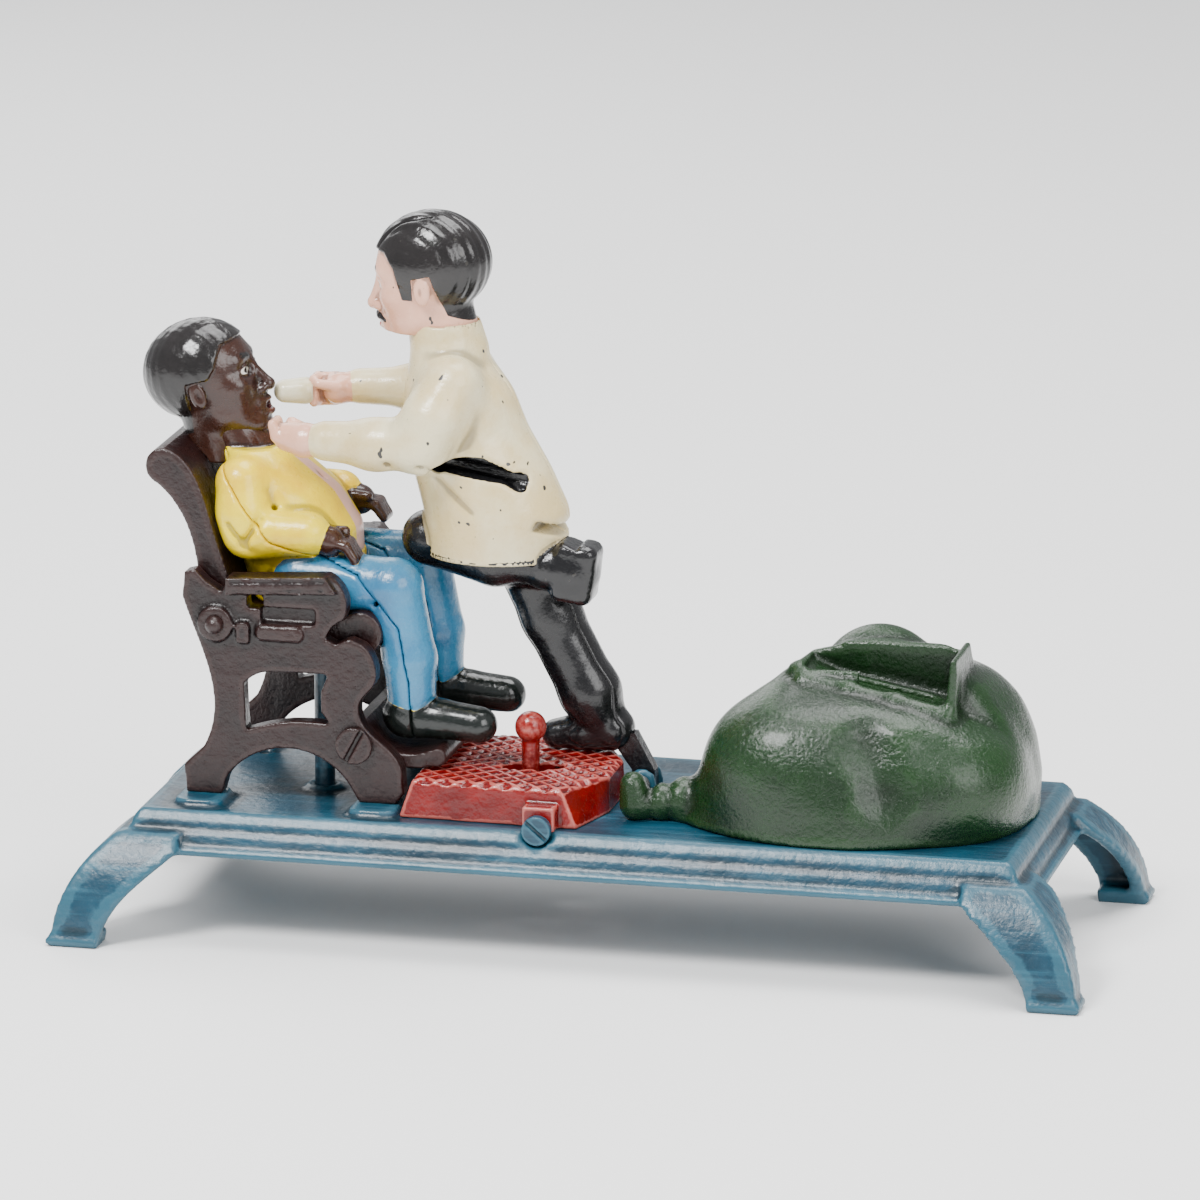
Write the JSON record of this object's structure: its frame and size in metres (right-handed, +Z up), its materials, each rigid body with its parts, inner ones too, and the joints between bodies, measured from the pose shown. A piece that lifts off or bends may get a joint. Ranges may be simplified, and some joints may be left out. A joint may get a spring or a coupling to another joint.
{
  "type": "mechanical coin bank",
  "caption": "Cast-iron mechanical bank: a dentist falls back on a gas bag and a seated patient tips back when the lever at the dentist's feet is pressed; coins go into the coat pocket.",
  "frame": {"origin": "on the surface that the feet stand on, under the middle of the base", "axes": "+Z up, +X along the base from the chair to the gas bag, +Y across the base away from the side with the lever screw"},
  "size_m": [0.258, 0.1072, 0.1779],
  "materials": {
    "base_blue": "dry-brushed blue enamel on cast iron",
    "platform_red": "glossy red enamel, worn on the ridges",
    "chair_brown": "dark oxblood enamel on pebbled cast iron",
    "bag_green": "dark green enamel on pebbled cast iron",
    "patient_paint": "hand-painted enamel, several colours",
    "dentist_paint": "hand-painted enamel, several colours",
    "tooth_white": "off-white enamel",
    "bare_steel": "plain steel, dulled",
    "spring_steel": "oiled spring wire",
    "iron_black": "dark unpainted iron"
  },
  "bodies": {
    "base": {"base_casting": "base_blue", "foot_platform": "platform_red", "lever_pivot_screw": "base_blue", "lever_spring": "spring_steel", "gas_bag": "bag_green", "gas_bag_screws": "bare_steel", "platform_screws": "bare_steel", "chair_foot_screws": "bare_steel", "chair_side_near": "chair_brown", "chair_side_far": "chair_brown", "chair_tie_rod": "chair_brown", "footrest": "chair_brown", "chair_pivot_pin": "chair_brown", "dentist_pivot_pin": "bare_steel", "trip_bar_guide_rear": "iron_black", "trip_bar_guide_front": "iron_black", "main_spring": "spring_steel", "spring_post": "bare_steel", "trap_screw": "bare_steel"},
    "dentist": {"dentist_near_half": "dentist_paint", "dentist_far_half": "dentist_paint", "pulled_tooth": "tooth_white", "dentist_tail": "iron_black", "tail_pin": "bare_steel"},
    "chair": {"chair_back": "chair_brown", "chair_seat": "chair_brown", "patient_back_half": "patient_paint", "patient_front_half": "patient_paint", "seat_screw": "bare_steel"},
    "lever": {"release_lever": "platform_red"},
    "trip": {"trip_bar": "iron_black"},
    "rod": {"push_rod": "base_blue"},
    "trap": {"coin_trap": "iron_black"}
  },
  "joints": [
    {"name": "dentist_fall", "type": "hinge", "parent": "base", "child": "dentist", "pos_m": [0.009, 0.005, 0.0355], "axis": [0, 1, 0], "range_deg": [0, 56]},
    {"name": "chair_tip", "type": "hinge", "parent": "base", "child": "chair", "pos_m": [-0.0917, 0, 0.0776], "axis": [0, -1, 0], "range_deg": [0, 20.01]},
    {"name": "trip_slide", "type": "slide", "parent": "base", "child": "trip", "axis": [-1, 0, 0], "range_m": [0, 0.01328], "deforming": ["main_spring"]},
    {"name": "rod_lift", "type": "slide", "parent": "base", "child": "rod", "axis": [0, 0, 1], "range_m": [0, 0.00781]},
    {"name": "lever_press", "type": "hinge", "parent": "base", "child": "lever", "pos_m": [-0.0083, -0.012, 0.0332], "axis": [0, 1, 0], "range_deg": [0, 16], "stiffness_Nm_per_rad": 0.02, "deforming": ["lever_spring"]},
    {"name": "trap_swing", "type": "hinge", "parent": "base", "child": "trap", "pos_m": [0.084, 0, 0.0284], "axis": [0, 0, -1], "range_deg": [0, 85]}
  ],
  "couplings": [
    {"joint": "chair_tip", "follows": "dentist_fall", "ratio": 0.35714},
    {"joint": "trip_slide", "follows": "dentist_fall", "m_per_rad": 0.013572},
    {"joint": "rod_lift", "follows": "dentist_fall", "m_per_rad": 0.0079805}
  ]
}
